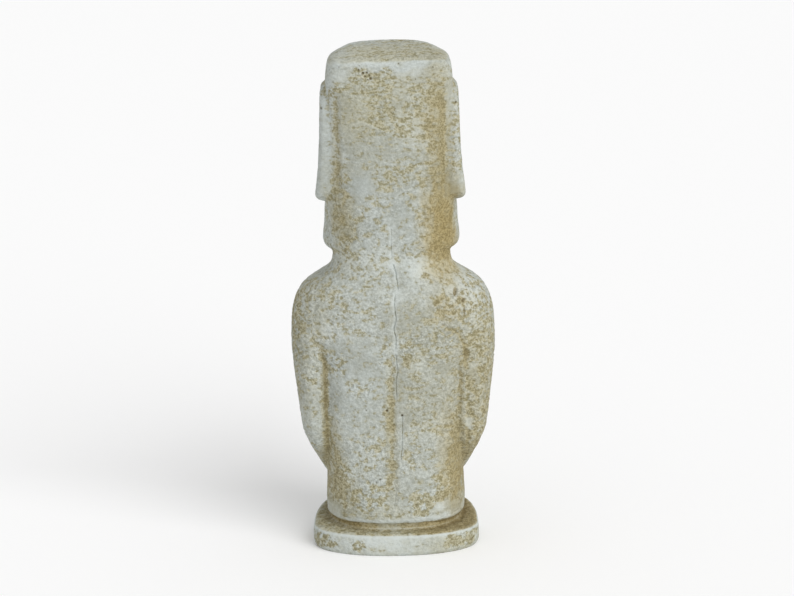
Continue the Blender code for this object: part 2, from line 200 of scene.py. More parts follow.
# Face, set out from the crown down. OUT is how far a feature stands forward.
BROW_HEIGHT = 403
BROW_OUT = 9.5
BROW_HALF = 55
BROW_DROOP = 3.5
SOCKET_X = 26
SOCKET_DROP = 15
SOCKET_HALF_WIDTH = 25
SOCKET_HALF_HEIGHT = 20
SOCKET_DEPTH = 8.5
NOSE_TOP = 402
NOSE_TIP = 340
NOSE_TOP_OUT = 9
NOSE_TIP_OUT = 19.5
NOSE_TOP_HALF = 6
NOSE_TIP_HALF = 14.5
NOSTRIL_OUT = 3.4
CHEEK = (35, 352)
CHEEK_OUT = 2.6
MOUTH_HEIGHT = 313
MOUTH_HALF = 28
MOUTH_OUT = 3
MOUTH_DROOP = 3.5
LIP_OUT = 7.6
LIP_THICKNESS = 7.4
LIP_PARTING = 2.4
CHIN_HEIGHT = 286
CHIN_HALF = 46
CHIN_OUT = 8
UNDER_LIP_DEPTH = 3

# Chest and belly.
CHEST_OUT = 4.2
CHEST_HALF = 78
CHEST_TOP = 240
CHEST_FOLD = 184
CHEST_FOLD_RISE = 9
CHEST_MIDDLE = 33
NAVEL_HEIGHT = 108
NAVEL_RADIUS = 4.6
NAVEL_DEPTH = 2.6

# The long hollow of each ear: middle in y and z, half width, half length and depth.
EAR_HOLLOW = (4, 372, 8.5, 44, 3.4)

# Furrows on the back: place across, half width and depth, then the heights where they begin, are
# full and end. The first two are mirrored, and the spine's lies a little to the left.
EAR_FURROW = ((46.5, 5, 2.6), (318, 332, 404, 416))
ARM_FURROW = ((60.8, 2.8, 1.2), (72, 90, 166, 180))
SPINE_FURROW = ((2.2, 6, 1.3), (40, 100, 168, 196))
# A filling that makes the groove beside the right arm shallower.
RIGHT_ARM_FILL = ((-60.4, 5, -2.4), (72, 90, 166, 180))

# The undercut below the torso's lip: from and to which height, how deep, and how far the lip
# hangs lower and stands out towards its two ends.
UNDERCUT_HEIGHTS = (21, 27)
UNDERCUT_DEPTH = 0.5
LIP_DROOP = 2
LIP_OUT_AT_ENDS = 1.2

# Shrinkage cracks down the back as (x, z) places, with their half width, their depth and how
# far the stone beside them was rubbed clean.
CRACKS = (
    (((0.2, 294), (0.35, 282), (0.4, 272), (0.2, 264)), 0.6, 0.6, 3),
    (((-1, 261), (-3.5, 253), (-5, 239)), 0.75, 1.15, 3.6),
    (((-2.4, 237), (-1.3, 228), (-2.8, 215), (-0.6, 206), (-2.9, 195), (-1.5, 184)), 0.75, 1.1, 3.2),
    (((-1.5, 184), (-3.6, 169), (-2, 158), (-2, 140)), 0.7, 1, 1.4),
    (((-6.8, 126), (-7, 112), (-6.4, 99), (-4.9, 84)), 0.65, 1, 1.4),
    (((1.6, 66), (-0.8, 58), (0.8, 49), (1.8, 40)), 0.6, 0.6, 1.5),
)

# Creases pressed beside the arms, as (x, z) places, with their half width and depth. One of
# them arches over the right shoulder blade.
SHOULDER_ARC = (
    (-43, 207), (-52, 203), (-58, 198), (-62.5, 189), (-64.5, 179), (-63, 168), (-60.5, 156),
)
CREASES = (
    (((62.6, 176), (61.8, 160), (61.2, 138), (60.6, 116), (59.8, 88)), 1.5, 0.8),
    (SHOULDER_ARC, 2.2, 0.9),
    (((-60.6, 166), (-59.8, 146), (-59.2, 122), (-59, 90)), 1.3, 0.4),
)

# Air holes that opened on the back as (x, z, radius, depth).
BACK_HOLES = (
    (25.9, 434.4, 1.2, 1), (22.4, 431.6, 1.5, 1.3), (19, 432, 1.3, 1.2), (20.6, 428.8, 1.2, 0.9),
    (16.8, 429.4, 1.1, 0.9), (15.8, 426.8, 1.5, 1.2), (18.2, 425.8, 0.9, 0.7),
    (25.6, 438.2, 0.8, 0.6), (-8.6, 439.6, 1, 0.8), (-38.3, 435.8, 0.9, 0.8),
    (-23, 425.7, 0.9, 0.7), (43, 436.9, 0.8, 0.6), (59.6, 398.4, 1.3, 1.1), (-58.2, 402, 1.3, 1.1),
    (6.5, 130.6, 1.3, 1.7), (-6.8, 126, 1.3, 1.7), (25.1, 131, 0.9, 0.7), (13.8, 68, 1.1, 1),
    (17, 65, 0.9, 0.8),
)

# A longer pit, a dent and a short upright scratch behind the right shoulder, as
# (x, z, half width, half height, depth).
SHOULDER_MARKS = (
    (-55.6, 235.4, 2.5, 4.8, 2.2),
    (-62.4, 227.7, 1.9, 2.2, 1.8),
    (-63.4, 218, 1, 5, 1.2),
)

# Air holes strewn over the sides and the front.
STREWN_HOLES = 46
STREWN_SEED = 7
STREWN_RADII = (0.8, 1.5)

# Unevenness of the surface: height of the humps, their size, stretch and seed. The finest humps
# are higher on the outer shoulders.
HUMPS = ((0.4, 42, 1, 1), (0.2, 15, 1.3, 2), (0.1, 6.5, 1.4, 3))
FINE_HUMPS = (3.4, 1.2, 7)
FINE_HUMP_HEIGHT = 0.07
SHOULDER_HUMP_HEIGHT = 0.2
# Pecked dents: size, stretch and seed of the noise that places them, and their depth.
LARGE_PECKS = (5.2, 2.1, 4)
SMALL_PECKS = (2.9, 1.8, 5)
PECK_DEPTH = 0.55


def step(low, high, value):
    """0 at low and 1 at high, with an S-curve between them; low may be the larger."""
    t = np.clip((value - low) / (high - low), 0, 1)
    return t * t * (3 - 2 * t)


def hill(value, centre, reach):
    """1 at the centre, falling smoothly to 0 at reach on either side."""
    return step(reach, 0, np.abs(value - centre))


def through(stations, heights):
    """Monotone cubic curves through the stations, one row of values for each height."""
    table = np.array(stations, float)
    knots, values = table[:, 0], table[:, 1:]
    span = np.diff(knots)[:, None]
    rise = np.diff(values, axis=0) / span
    slope = np.zeros_like(values)
    slope[0], slope[-1] = rise[0], rise[-1]
    before, after = 2 * span[1:] + span[:-1], span[1:] + 2 * span[:-1]
    steady = rise[:-1] * rise[1:] > 0
    safe = np.where(steady, rise[:-1], 1), np.where(steady, rise[1:], 1)
    slope[1:-1] = np.where(steady, (before + after) / (before / safe[0] + after / safe[1]), 0)
    i = np.clip(np.searchsorted(knots, heights, side="right") - 1, 0, len(span) - 1)
    t = ((heights - knots[i]) / span[i, 0])[:, None]
    return (
        (2 * t**3 - 3 * t**2 + 1) * values[i]
        + (t**3 - 2 * t**2 + t) * span[i] * slope[i]
        + (3 * t**2 - 2 * t**3) * values[i + 1]
        + (t**3 - t**2) * span[i] * slope[i + 1]
    )


def oval(half_width, back, front, widest_at, back_square, front_square):
    """A closed ring in plan whose back and front halves are superellipses of their own."""
    angle = np.linspace(0, 2 * math.pi, RING_POINTS, endpoint=False)
    across, along = np.cos(angle), np.sin(angle)
    square = np.where(along > 0, back_square, front_square)
    reach = np.where(along > 0, back - widest_at, widest_at - front)
    x = half_width * np.sign(across) * np.abs(across) ** (2 / square)
    y = widest_at + reach * np.sign(along) * np.abs(along) ** (2 / square)
    return x, y


def heights_of(stations):
    """Even steps up the form, with every station among them."""
    low, high = stations[0][0], stations[-1][0]
    even = np.linspace(low, high, int((high - low) / RING_STEP) + 2)
    return np.unique(np.concatenate([even, [s[0] for s in stations]]))


def placed(points):
    """Points of the design, in millimetres, laid on the frame."""
    return np.asarray(points) * MM + np.array(FOOT)


def skin(bm, rings):
    """Faces between each ring and the next, and a cap on both ends."""
    rows = [[bm.verts.new(point) for point in placed(ring)] for ring in rings]
    for lower, upper in zip(rows, rows[1:]):
        for i, j in zip(range(len(lower)), [*range(1, len(lower)), 0]):
            bm.faces.new((lower[i], lower[j], upper[j], upper[i]))
    bm.faces.new(rows[0][::-1])
    bm.faces.new(rows[-1])


def central_form(bm, stations, relief=None):
    """A form on the middle plane; relief(x, z) carves its front."""
    heights = heights_of(stations)
    rings = []
    for z, values in zip(heights, through(stations, heights)):
        x, y = oval(*values)
        level = np.full_like(x, z)
        if relief:
            frontal = step(0, 14, values[3] - y)
            y = y - relief(x, level) * frontal
        rings.append(np.stack([x, y, level], axis=1))
    skin(bm, rings)


def side_form(bm, stations, side):
    """A form beside the middle plane, between an inner and an outer edge."""
    heights = heights_of(stations)
    rings = []
    for z, (inner, outer, back, front, square) in zip(heights, through(stations, heights)):
        x, y = oval((outer - inner) / 2, back, front, (back + front) / 2, square, square)
        ring = np.stack([x + (inner + outer) / 2, y, np.full_like(x, z)], axis=1)
        rings.append((ring * (side, 1, 1))[::side])
    skin(bm, rings)


def in_scene(name, data):
    """A new object with this data, linked to the scene."""
    made = bpy.data.objects.new(name, data)
    bpy.context.scene.collection.objects.link(made)
    return made


def limb(bm, places, side):
    """A tapered round limb through the places, made as a bevelled curve with closed ends."""
    curve = bpy.data.curves.new("limb", "CURVE")
    curve.dimensions = "3D"
    curve.bevel_depth = MM
    curve.bevel_resolution = 6
    curve.resolution_u = 12
    curve.use_fill_caps = True
    spline = curve.splines.new("NURBS")
    spline.points.add(len(places) - 1)
    spline.order_u = 3
    spline.use_endpoint_u = True
    for point, (x, y, z, radius) in zip(spline.points, places):
        point.co = (*placed((side * x, y, z)), 1)
        point.radius = radius
    guide = in_scene("limb", curve)
    graph = bpy.context.evaluated_depsgraph_get()
    tube = bpy.data.meshes.new_from_object(guide.evaluated_get(graph))
    bm.from_mesh(tube)
    for x, y, z, radius in (places[0], places[-1]):
        ball = bmesh.ops.create_uvsphere(bm, u_segments=24, v_segments=16, radius=radius * MM)
        bmesh.ops.translate(bm, verts=ball["verts"], vec=placed((side * x, y, z)))
    bpy.data.objects.remove(guide)
    bpy.data.curves.remove(curve)
    bpy.data.meshes.remove(tube)


def brow_relief(side, over_brow):
    """A heavy ledge: a slow slope above, a sharp edge below."""
    ledge = step(24, 3, over_brow) * step(-5, 1, over_brow)
    return BROW_OUT * ledge * step(BROW_HALF, BROW_HALF - 15, side)


def socket_relief(side, over_brow):
    """An oval eye hollow tucked up under the brow, with no eyeball."""
    below = (over_brow + SOCKET_DROP) / SOCKET_HALF_HEIGHT
    away = np.hypot((side - SOCKET_X) / SOCKET_HALF_WIDTH, below)
    return -SOCKET_DEPTH * step(1.1, 0.3, away) * step(3, 10, side) * step(0, -5, over_brow)


def nose_relief(side, z):
    """A long nose with a hollow ridge line, square below, and round nostrils."""
    down = np.clip((NOSE_TOP - z) / (NOSE_TOP - NOSE_TIP), 0, 1.2)
    half = NOSE_TOP_HALF + (NOSE_TIP_HALF - NOSE_TOP_HALF) * down**2.2
    out = NOSE_TOP_OUT + (NOSE_TIP_OUT - NOSE_TOP_OUT) * down**1.3
    nose = out * step(half + 4.5, half - 3.5, side)
    nose = nose * step(NOSE_TIP - 6, NOSE_TIP - 1, z) * step(NOSE_TOP + 8, NOSE_TOP - 4, z)
    nostril = hill(side, NOSE_TIP_HALF, 7.5) * hill(z, NOSE_TIP + 6, 11)
    crease = hill(side, NOSE_TIP_HALF - 1, 5) * hill(z, NOSE_TIP + 19, 9)
    return nose + NOSTRIL_OUT * (nostril - 0.5 * crease)


def mouth_relief(side, z):
    """Two thin lips, closed, on a low swelling, turned down a little at the corners."""
    line = MOUTH_HEIGHT - MOUTH_DROOP * (side / MOUTH_HALF) ** 2
    upper = hill(z, line + 0.62 * LIP_THICKNESS, LIP_THICKNESS)
    lower = hill(z, line - 0.66 * LIP_THICKNESS, LIP_THICKNESS * 1.08)
    lips = LIP_OUT * np.maximum(upper, 0.92 * lower) * step(MOUTH_HALF + 3, MOUTH_HALF - 16, side)
    parting = LIP_PARTING * hill(z, line, 2.4) * step(MOUTH_HALF + 2, MOUTH_HALF - 6, side)
    return lips - parting + MOUTH_OUT * step(MOUTH_HALF + 16, 14, side) * hill(z, MOUTH_HEIGHT, 26)


def chin_relief(side, z):
    """A square chin, with a dip between it and the lower lip."""
    chin = CHIN_OUT * step(CHIN_HALF, 14, side) * hill(z, CHIN_HEIGHT, 20)
    return chin - UNDER_LIP_DEPTH * step(36, 12, side) * hill(z, MOUTH_HEIGHT - 15.5, 7)


def face_relief(x, z):
    """How far the face stands out from the plain front of the head."""
    side = np.abs(x)
    over_brow = z - BROW_HEIGHT + BROW_DROOP * (side / 50) ** 2
    nose = nose_relief(side, z)
    socket = socket_relief(side, over_brow) * (nose < 4)
    cheek = CHEEK_OUT * hill(side, CHEEK[0], 19) * hill(z, CHEEK[1], 26)
    upper_face = np.maximum(brow_relief(side, over_brow), nose) + socket + cheek
    return upper_face + mouth_relief(side, z) + chin_relief(side, z)


def chest_relief(x, z):
    """Two flat breast muscles, each with a curved lower fold, and the navel."""
    side = np.abs(x)
    fold = CHEST_FOLD + CHEST_FOLD_RISE * ((side - CHEST_MIDDLE) / CHEST_MIDDLE) ** 2
    breast = CHEST_OUT * step(0, 10, side) * step(CHEST_HALF, CHEST_HALF - 26, side)
    breast = breast * step(fold - 4, fold + 4, z) * step(CHEST_TOP, CHEST_TOP - 36, z)
    return breast - NAVEL_DEPTH * hill(np.hypot(x, z - NAVEL_HEIGHT), 0, NAVEL_RADIUS)


def belly(x, z):
    """The front of the torso at this place."""
    half, _, front, widest_at, _, square = through(TORSO_STATIONS, np.array([z]))[0]
    return widest_at - (widest_at - front) * (1 - (abs(x) / half) ** square) ** (1 / square)


def fingers(bm, side):
    """Four long fingers laid on the belly, the middle two reaching furthest in, and the thumb."""
    for row, tip_x in enumerate(FINGER_TIPS_X):
        z = LOWEST_FINGER + row * FINGER_PITCH
        reach = [FINGER_ROOT_X + (tip_x - FINGER_ROOT_X) * share for share in (0, 0.3, 0.6, 0.85, 1)]
        limb(bm, [(x, belly(x, z) - HAND_OUT, z, FINGER_RADIUS) for x in reach], side)
    limb(bm, [(x, belly(x, z) - HAND_OUT, z, radius) for x, z, radius in THUMB], side)


def raw_forms():
    """Every form of the figure, overlapping, in one mesh."""
    bm = bmesh.new()
    for side in (1, -1):
        limb(bm, FOREARM, side)
        fingers(bm, side)
        side_form(bm, ARM_STATIONS, side)
        side_form(bm, EAR_STATIONS, side)
    central_form(bm, PLINTH_STATIONS)
    central_form(bm, TORSO_STATIONS, chest_relief)
    central_form(bm, HEAD_STATIONS, face_relief)
    mesh = bpy.data.meshes.new("forms")
    bm.to_mesh(mesh)
    bm.free()
    return mesh


def applied(mesh, modifiers):
    """The mesh with these (type, settings) modifiers applied to it."""
    carrier = in_scene("carrier", mesh)
    for kind, settings in modifiers:
        modifier = carrier.modifiers.new(kind.lower(), kind)
        for name, value in settings.items():
            setattr(modifier, name, value)
    graph = bpy.context.evaluated_depsgraph_get()
    result = bpy.data.meshes.new_from_object(carrier.evaluated_get(graph))
    bpy.data.objects.remove(carrier)
    return result


def vertex_rows(mesh, name):
    """The mesh's own "co" or "normal", one row for each point."""
    values = np.empty(len(mesh.vertices) * 3)
    mesh.vertices.foreach_get(name, values)
    return values.reshape(-1, 3)


def points_of(mesh):
    """The mesh's points in the design's millimetres."""
    return (vertex_rows(mesh, "co") - np.array(FOOT)) / MM


def set_points(mesh, points):
    mesh.vertices.foreach_set("co", placed(points).reshape(-1))
    mesh.update()


def carve(mesh):
    """Press the hollows of the ears and the furrows of the back into the surface."""
    points = points_of(mesh)
    x, y, z = points.T.copy()
    side = np.abs(x)
    middle_y, middle_z, half_width, half_length, depth = EAR_HOLLOW
    along = np.clip(z, middle_z - half_length + half_width, middle_z + half_length - half_width)
    hollow = step(half_width, half_width - 4.5, np.hypot(y - middle_y, z - along))
    points[:, 0] -= np.sign(x) * depth * hollow * step(56, 59, side)
    furrows = (side, EAR_FURROW), (side, ARM_FURROW), (x, SPINE_FURROW), (x, RIGHT_ARM_FILL)
    for across, ((line, half, depth), (foot, full_from, full_to, top)) in furrows:
        fade = step(foot, full_from, z) * step(top, full_to, z) * step(2, 12, y)
        points[:, 1] -= depth * hill(across, line, half) * fade
    set_points(mesh, points)


def undercut(mesh):
    """Press the wall below the torso's lip back, so that the lip has an edge."""
    points = points_of(mesh)
    x, y, z = points.T.copy()
    normals = vertex_rows(mesh, "normal")
    outward = normals[:, :2] / np.maximum(np.hypot(normals[:, 0], normals[:, 1]), 0.2)[:, None]
    low, high = UNDERCUT_HEIGHTS
    ends = step(24, 46, np.abs(x)) * step(0, 20, y)
    edge = high - LIP_DROOP * ends
    wall = (np.abs(normals[:, 2]) < 0.85) & (np.hypot(x / 66, y / 62) < 1.12)
    recess = step(low - 0.6, low + 0.6, z) * step(edge + 0.7, edge - 0.7, z) * wall
    lip = ends * step(edge - 0.7, edge + 0.7, z) * step(high + 4, high + 0.5, z) * wall
    points[:, :2] += outward * (LIP_OUT_AT_ENDS * lip - UNDERCUT_DEPTH * recess)[:, None]
    set_points(mesh, points)


def cut_flat(mesh):
    """Cut the underside off level at the foot and close it."""
    bm = bmesh.new()
    bm.from_mesh(mesh)
    everything = bm.verts[:] + bm.edges[:] + bm.faces[:]
    bmesh.ops.bisect_plane(bm, geom=everything, plane_co=FOOT, plane_no=(0, 0, 1), clear_inner=True)
    bmesh.ops.contextual_create(bm, geom=[edge for edge in bm.edges if edge.is_boundary])
    bmesh.ops.triangulate(bm, faces=bm.faces[:])
    bm.to_mesh(mesh)
    bm.free()


def along_path(places, x, z):
    """Distance in x and z from each point to a path, and how far along it the nearest place is."""
    nearest = np.full(len(x), 1e9)
    travelled = np.zeros(len(x))
    passed = 0
    for (x0, z0), (x1, z1) in zip(places, places[1:]):
        dx, dz = x1 - x0, z1 - z0
        length = math.hypot(dx, dz)
        share = np.clip(((x - x0) * dx + (z - z0) * dz) / length**2, 0, 1)
        away = np.hypot(x - x0 - share * dx, z - z0 - share * dz)
        closer = away < nearest
        travelled = np.where(closer, passed + share * length, travelled)
        nearest = np.where(closer, away, nearest)
        passed += length
    return nearest, travelled / passed


def grain(points, size, stretch=1, seed=0):
    """Perlin noise from about -1 to 1, with humps of this size, longer across than up by stretch."""
    spots = points * (1, 1, stretch) / size + (seed * 31.7, seed * 17.9, seed * 7.3)
    return np.array([noise.noise(spot) for spot in spots.tolist()])


def strewn_holes(points, normals):
    """Seeded places for air holes on the sides and front, as (index of a point, radius, depth)."""
    chance = np.random.default_rng(STREWN_SEED)
    open_to = (points[:, 1] < 20) & (points[:, 2] > 8) & (np.abs(normals[:, 2]) < 0.7)
    picked = chance.choice(np.flatnonzero(open_to), STREWN_HOLES, replace=False)
    radii = chance.uniform(*STREWN_RADII, STREWN_HOLES)
    return [(points[i], radius, 1.1 * radius) for i, radius in zip(picked, radii)]


def refine(mesh, chosen, passes):
    """Split the edges whose two ends are both chosen by the function, this many times over."""
    bm = bmesh.new()
    bm.from_mesh(mesh)
    for _ in range(passes):
        spots = np.array([vert.co for vert in bm.verts])
        near = chosen((spots - np.array(FOOT)) / MM)
        bm.verts.index_update()
        edges = [e for e in bm.edges if near[e.verts[0].index] and near[e.verts[1].index]]
        bmesh.ops.subdivide_edges(bm, edges=edges, cuts=1, use_grid_fill=True)
        bmesh.ops.triangulate(bm, faces=[face for face in bm.faces if len(face.verts) > 4])
    bm.to_mesh(mesh)
    bm.free()


def needs_fine_mesh(points):
    """Where on the back the mesh has to be finer for the cracks and the air holes."""
    x, y, z = points.T
    near = np.zeros(len(points), bool)
    for places, half, _, _ in CRACKS:
        near |= along_path(places, x, z)[0] < half + 1.4
    for hole_x, hole_z, radius, _ in BACK_HOLES:
        near |= np.hypot(x - hole_x, z - hole_z) < radius + 1.2
    recess = (z > PLINTH_TOP - 3) & (z < PLINTH_TOP + 13)
    return (near & (y > 6)) | (recess & (y > 20) & (np.hypot(x, y) < 76))


def peck_amount(x, y, z):
    """How strongly the stone is pecked at each point: the head's back and the flanks most."""
    head_back = hill(z, 380, 46) * step(50, 34, np.abs(x)) * step(20, 30, y)
    flanks = step(38, 66, np.abs(x)) * step(60, 90, z) * step(250, 215, z)
    right = step(-10, -60, x) * hill(z, 170, 80) * step(0, 20, y)
    plain = step(16, 24, z)
    return np.clip(0.3 * plain + 0.75 * head_back + 0.5 * flanks + 0.5 * right, 0, 1.1)


def fine_relief(mesh):
    """Unevenness, pecked dents, cracks, creases, pits and air holes, along the surface's normals."""
    points, normals = points_of(mesh), vertex_rows(mesh, "normal")
    x, y, z = points.T
    back = step(2, 12, y)
    height = np.zeros(len(x))
    for hump_height, *hump in HUMPS:
        height += hump_height * grain(points, *hump)
    outer = step(44, 74, np.abs(x)) * step(70, 100, z) * step(262, 240, z)
    height += (FINE_HUMP_HEIGHT + SHOULDER_HUMP_HEIGHT * outer) * grain(points, *FINE_HUMPS)
    dents = step(0.02, 0.42, grain(points, *LARGE_PECKS))
    dents += 0.6 * step(0.1, 0.5, grain(points, *SMALL_PECKS))
    height -= PECK_DEPTH * dents * peck_amount(x, y, z)
    for places, half, depth in CREASES:
        away, share = along_path(places, x, z)
        height -= depth * step(half, 0.2 * half, away) * back * hill(share, 0.5, 0.72)
    for places, half, depth, _ in CRACKS:
        away, share = along_path(places, x + 0.5 * grain(points, 7, seed=6), z)
        ends = step(0, 0.06, share) * step(1, 0.9, share)
        height -= depth * step(half, 0.25 * half, away) * back * ends
    for hole_x, hole_z, radius, depth in BACK_HOLES:
        height -= depth * step(radius, 0.45 * radius, np.hypot(x - hole_x, z - hole_z)) * (y > 4)
    for mark_x, mark_z, half_x, half_z, depth in SHOULDER_MARKS:
        away = np.hypot((x - mark_x) / half_x, (z - mark_z) / half_z)
        height -= depth * step(1, 0.4, away) * back
    for centre, radius, depth in strewn_holes(points, normals):
        height -= depth * step(radius, 0.4 * radius, np.linalg.norm(points - centre, axis=1))
    height *= step(0, 2, z)
    set_points(mesh, points + normals * height[:, None])


def keep_in_box(mesh):
    """Hold every point inside the CAD solid's box, and the underside flat on its foot."""
    points = np.clip(vertex_rows(mesh, "co"), np.array(CAD_LOW), np.array(CAD_HIGH))
    foot = points[:, 2] < FOOT.z + 0.4 * MM
    points[foot, 2] = FOOT.z
    mesh.vertices.foreach_set("co", points.reshape(-1))
    mesh.update()


def hollowness(mesh, passes):
    """How far each point lies below the surface smoothed over its neighbours, in millimetres."""
    points, normals = points_of(mesh), vertex_rows(mesh, "normal")
    ends = np.empty(len(mesh.edges) * 2, np.int64)
    mesh.edges.foreach_get("vertices", ends)
    first, second = ends[0::2], ends[1::2]
    count = np.bincount(ends, minlength=len(points))[:, None]
    smooth = points.copy()
    for _ in range(passes):
        total = np.empty_like(smooth)
        for axis in range(3):
            total[:, axis] = np.bincount(first, smooth[second, axis], len(points))
            total[:, axis] += np.bincount(second, smooth[first, axis], len(points))
        smooth += 0.6 * (total / count - smooth)
    return np.einsum("ij,ij->i", smooth - points, normals)


# What share of the stone the stain covers on the back. Each patch is painted over the ones
# before it: x, z, half width, half height, share. The rest of the back has the ground's share.
STAIN_GROUND = 0.24
BACK_STAIN = (
    # the back of the head, from the crown's edge down
    (-2, 404, 48, 34, 0.44), (14, 420, 22, 16, 0.6), (20, 430, 9, 7, 0.78), (-32, 402, 20, 26, 0.6),
    (-6, 391, 27, 16, 0.6), (32, 390, 15, 22, 0.34), (-8, 410, 6, 13, 0.32), (6, 398, 9, 9, 0.62),
    (-28, 381, 9, 9, 0.32), (44, 430, 8, 7, 0.34), (46, 414, 9, 8, 0.52), (-20, 431, 13, 8, 0.25),
    (-41, 433, 9, 6, 0.26), (3, 440, 52, 4, 0.1), (2, 361, 36, 16, 0.28), (-8, 338, 25, 15, 0.47),
    (28, 330, 13, 13, 0.06), (6, 303, 32, 20, 0.3), (-9, 298, 11, 12, 0.12), (0, 271, 45, 7, 0.34),
    # the ears and the sides of the nape
    (-60, 372, 7, 50, 0.6), (58, 360, 8, 48, 0.05), (52, 414, 8, 8, 0.5), (-41, 366, 10, 50, 0.72),
    (45, 322, 11, 26, 0.56), (55, 294, 7, 22, 0.34), (41, 292, 9, 25, 0.54),
    (-46, 298, 13, 38, 0.76), (-31, 288, 6, 24, 0.4), (-54, 329, 13, 8, 0.25),
    (-47, 266, 11, 12, 0.74), (-59, 297, 5, 18, 0.28), (-58, 328, 8, 8, 0.14),
    # shoulders
    (28, 230, 30, 28, 0.36), (32, 224, 16, 13, 0.4), (-23, 231, 20, 28, 0.24),
    (-40, 252, 15, 9, 0.48), (72, 212, 24, 40, 0.47), (87, 206, 7, 34, 0.85),
    (61, 212, 8, 15, 0.28), (-76, 212, 20, 38, 0.54), (-50, 224, 14, 13, 0.66),
    (-40, 206, 18, 10, 0.42),
    # arms
    (80, 168, 14, 30, 0.46), (75, 126, 13, 20, 0.24), (68, 86, 15, 16, 0.48),
    (-77, 156, 14, 46, 0.62), (-65, 150, 6, 32, 0.62), (-70.8, 164, 4.2, 3.8, 0.06),
    (-66.5, 110, 3.2, 8, 0.03), (-69, 90, 16, 22, 0.95),
    # the middle of the back
    (34, 166, 28, 32, 0.1), (29, 149, 11, 10, 0.4), (52, 173, 9, 9, 0.5), (26, 120, 19, 18, 0.2),
    (-32, 156, 26, 50, 0.34), (-34, 193, 24, 9, 0.48), (-46, 167, 7, 9, 0.12),
    (-7, 183, 10, 12, 0.68), (-40, 178, 9, 9, 0.45), (-42, 108, 8, 9, 0.46), (-5, 150, 4, 38, 0.14),
    # the spine channel
    (5, 180, 8, 12, 0.42), (3.6, 154, 4.5, 16, 0.4), (3.2, 122, 5.2, 20, 0.65),
    (3.4, 86, 6, 18, 0.48), (2, 58, 8, 14, 0.44),
    # the lower back
    (26, 80, 20, 28, 0.47), (57, 72, 8, 36, 0.62), (47, 60, 8, 18, 0.9), (36, 40, 14, 8, 0.66),
    (28, 50, 22, 8, 0.62), (-22, 84, 18, 26, 0.42), (-24, 107, 13, 9, 0.38),
    (-18, 66, 12, 10, 0.26), (-55, 78, 9, 42, 0.72), (-44, 57, 10, 13, 0.7),
    (-26, 44, 12, 11, 0.78), (0, 35, 66, 3.5, 0.34), (-24, 38, 12, 7, 0.85), (57, 35, 6, 5, 0.06),
    (-45, 38, 12, 5, 0.04),
    # the plinth's wall
    (0, 9, 56, 9, 0.06), (64, 9, 13, 8, 0.8), (34, 10, 8, 7, 1), (-28, 12, 10, 4, 0.4),
    (-58, 12, 17, 8, 0.86),
)

# The narrow grooves beside the ears and the arms, painted in the same way with plain outlines.
GROOVE_STAIN = (
    (47, 370, 3.6, 44, 0.52), (-45.4, 376, 3.6, 50, 0.74), (-52.6, 386, 2.6, 36, 0.16),
    (61.5, 134, 3.6, 52, 0.74), (-60.2, 140, 2, 56, 0.55),
)

# How far the back was wiped clean.
RUBBED = (
    (2, 440.2, 48, 3.2, 0.5), (-18, 433, 13, 6, 0.36), (43, 431, 5, 5, 0.28),
    (28, 330, 12, 13, 0.06), (-24, 256, 15, 9, 0.2), (-60, 250, 9, 12, 0.3), (0, 28, 66, 3.5, 0.5),
    (57, 35, 6, 5, 0.55), (-45, 38, 10, 4.5, 0.55), (-66.5, 110, 2.6, 7.5, 0.5),
    (-70.8, 164, 3.8, 3.6, 0.4), (30, 84, 16, 18, 0.1), (-34, 84, 14, 18, 0.08),
    (0, 13.5, 60, 4, 0.3),
)

# Where the stain lies as an even film and not in specks: patches, then narrow grooves.
SMEARED = (
    (-41, 374, 9, 58, 0.37), (-47, 294, 13, 38, 0.85), (-48, 265, 12, 14, 0.75),
    (42, 296, 8, 30, 0.52), (-56, 76, 8, 44, 0.75), (48, 52, 9, 18, 0.3), (58, 74, 7, 44, 0.42),
    (-70, 88, 16, 20, 0.6), (-72, 150, 16, 44, 0.12), (72, 80, 16, 14, 0.35),
    (-50, 224, 14, 12, 0.3),
)
GROOVE_SMEARS = (
    (47, 368, 4, 48, 0.42), (-44.6, 372, 4, 54, 0.5), (-52.6, 380, 2.2, 42, 0),
    (61.9, 128, 3.4, 56, 0.66), (-60.1, 134, 2.2, 56, 0.38), (3.4, 130, 5.5, 56, 0.25),
    (3.2, 120, 5, 22, 0.6), (2.6, 70, 6, 26, 0.3),
)

# Strips along the jaw's edges beside the nape, kept paler: the smear and the warmth are taken off there,
# the film halved and the stain set to a thin share.
JAW_EDGES = ((59.5, 298, 4.2, 17, 0.45), (-59.5, 298, 4.2, 17, 0.85))

# Painted shade: dark lines along the bottoms of the arms' grooves.
GROOVE_SHADE_LINES = (
    (62.3, 142, 1.7, 32, 0.8), (-60, 124, 1.4, 26, 0.1), (-59, 152, 1.3, 14, 0.65),
)

# Where the stain is warmer, towards orange.
WARM = (
    (-44, 290, 18, 50, 0.7), (-42, 370, 16, 50, 0.3), (-52, 84, 14, 50, 0.55),
    (-70, 150, 24, 80, 0.2), (-50, 226, 16, 16, 0.3),
)
